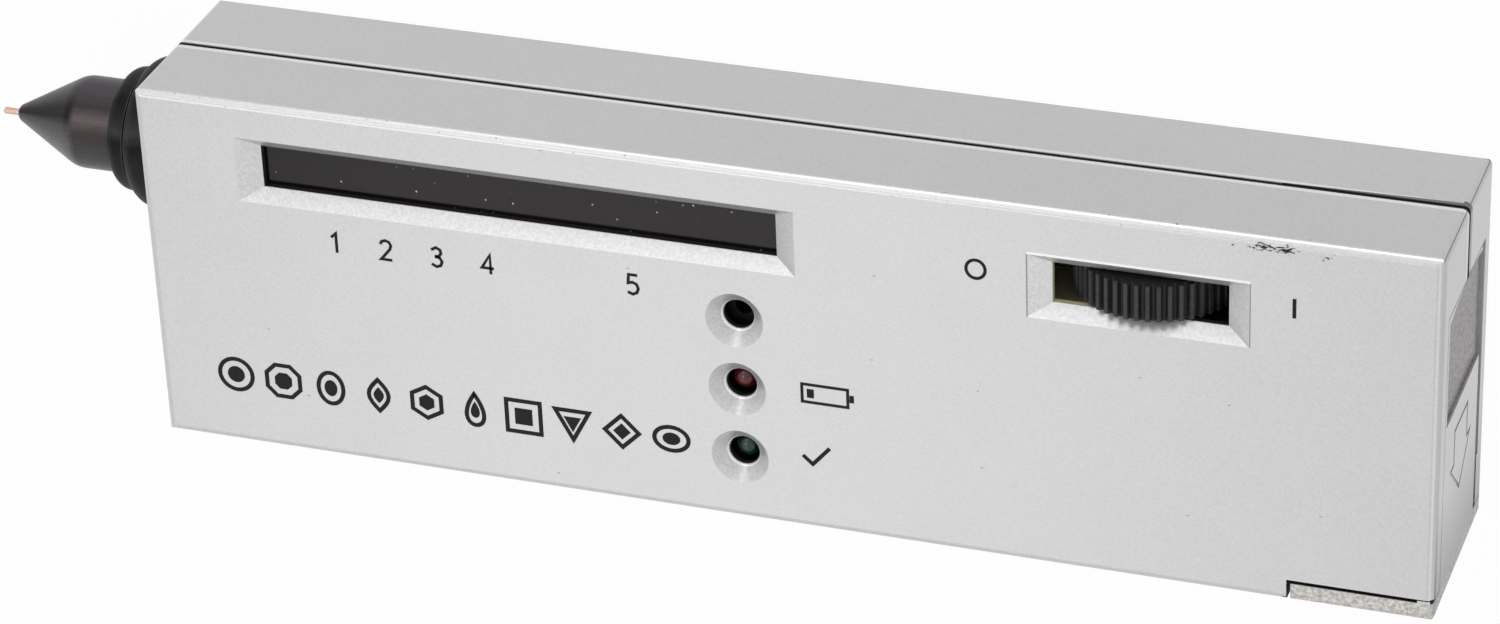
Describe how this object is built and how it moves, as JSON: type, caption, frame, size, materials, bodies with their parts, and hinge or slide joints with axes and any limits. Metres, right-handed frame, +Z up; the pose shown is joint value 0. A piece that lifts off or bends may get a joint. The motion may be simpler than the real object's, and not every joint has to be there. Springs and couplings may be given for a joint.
{
  "type": "diamond tester",
  "caption": "Hand-held thermal gem tester: flat silver case with a cone-nosed copper probe, smoked lamp window, ribbed on-off thumbwheel and a sliding battery door.",
  "frame": {"origin": "middle of the flat back of the case, which the tester lies on", "axes": "+X along the case from the probe end to the battery end, +Y across it towards the window edge, +Z up out of the face"},
  "size_m": [0.1692, 0.0438, 0.0235],
  "materials": {
    "silver_paint": "satin silver paint with a fine metallic grain on moulded ABS",
    "smoked_lens": "smoked acrylic",
    "black_plastic": "moulded black plastic",
    "green_lamp": "green tinted epoxy",
    "yellow_lamp": "yellow diffused epoxy",
    "red_lamp": "red tinted epoxy",
    "wheel_black": "black plastic with a ribbed rim",
    "steel": "nickel plated steel",
    "pot_case": "phenolic board and pressed case",
    "board_green": "solder mask on glass fibre board",
    "capacitor_sleeve": "shrink sleeve on aluminium can",
    "trimmer_blue": "blue moulded trimmer",
    "resistor_tan": "lacquered resistor body",
    "collar_black": "black moulded plastic with faint turned rings",
    "nose_grey": "dark brown-grey satin plastic",
    "copper": "bare copper",
    "lead_grey": "insulated wire",
    "lead_red": "red insulated wire",
    "lead_black": "black insulated wire",
    "battery_jacket": "printed steel jacket, left plain"
  },
  "bodies": {
    "case": {"front_shell": "silver_paint", "rear_shell": "silver_paint", "window_lens": "smoked_lens", "lamp_holder": "black_plastic", "green_lamps": "green_lamp", "yellow_lamps": "yellow_lamp", "red_lamps": "red_lamp", "low_battery_lamp": "red_lamp", "ready_lamp": "green_lamp", "lamp_spacers": "black_plastic", "buzzer": "black_plastic", "pot_body": "pot_case", "circuit_board": "board_green", "driver_chip": "black_plastic", "amplifier_chip": "black_plastic", "capacitors": "capacitor_sleeve", "trimmers": "trimmer_blue", "resistors": "resistor_tan", "probe_base": "collar_black", "probe_collar": "collar_black", "probe_nose": "nose_grey", "probe_spring": "steel", "probe_plug": "black_plastic", "probe_leads": "lead_grey", "battery": "battery_jacket", "battery_studs": "steel", "battery_clip": "black_plastic", "red_lead": "lead_red", "black_lead": "lead_black", "case_screws": "steel", "board_screws": "steel"},
    "wheel": {"thumbwheel": "wheel_black", "wheel_screw": "steel", "pot_shaft": "steel"},
    "door": {"battery_door": "silver_paint"},
    "tip": {"probe_tip": "copper", "probe_sleeve": "steel"}
  },
  "joints": [
    {"name": "thumbwheel_turn", "type": "hinge", "parent": "case", "child": "wheel", "pos_m": [0.041, 0.01245, 0.0144], "axis": [0, 1, 0], "range_deg": [0, 280]},
    {"name": "battery_door_slide", "type": "slide", "parent": "case", "child": "door", "axis": [0, -1, 0], "range_m": [0, 0.036]},
    {"name": "probe_tip_press", "type": "slide", "parent": "case", "child": "tip", "axis": [1, 0, 0], "range_m": [0, 0.0012], "stiffness_N_per_m": 300, "deforming": ["probe_spring"]}
  ]
}
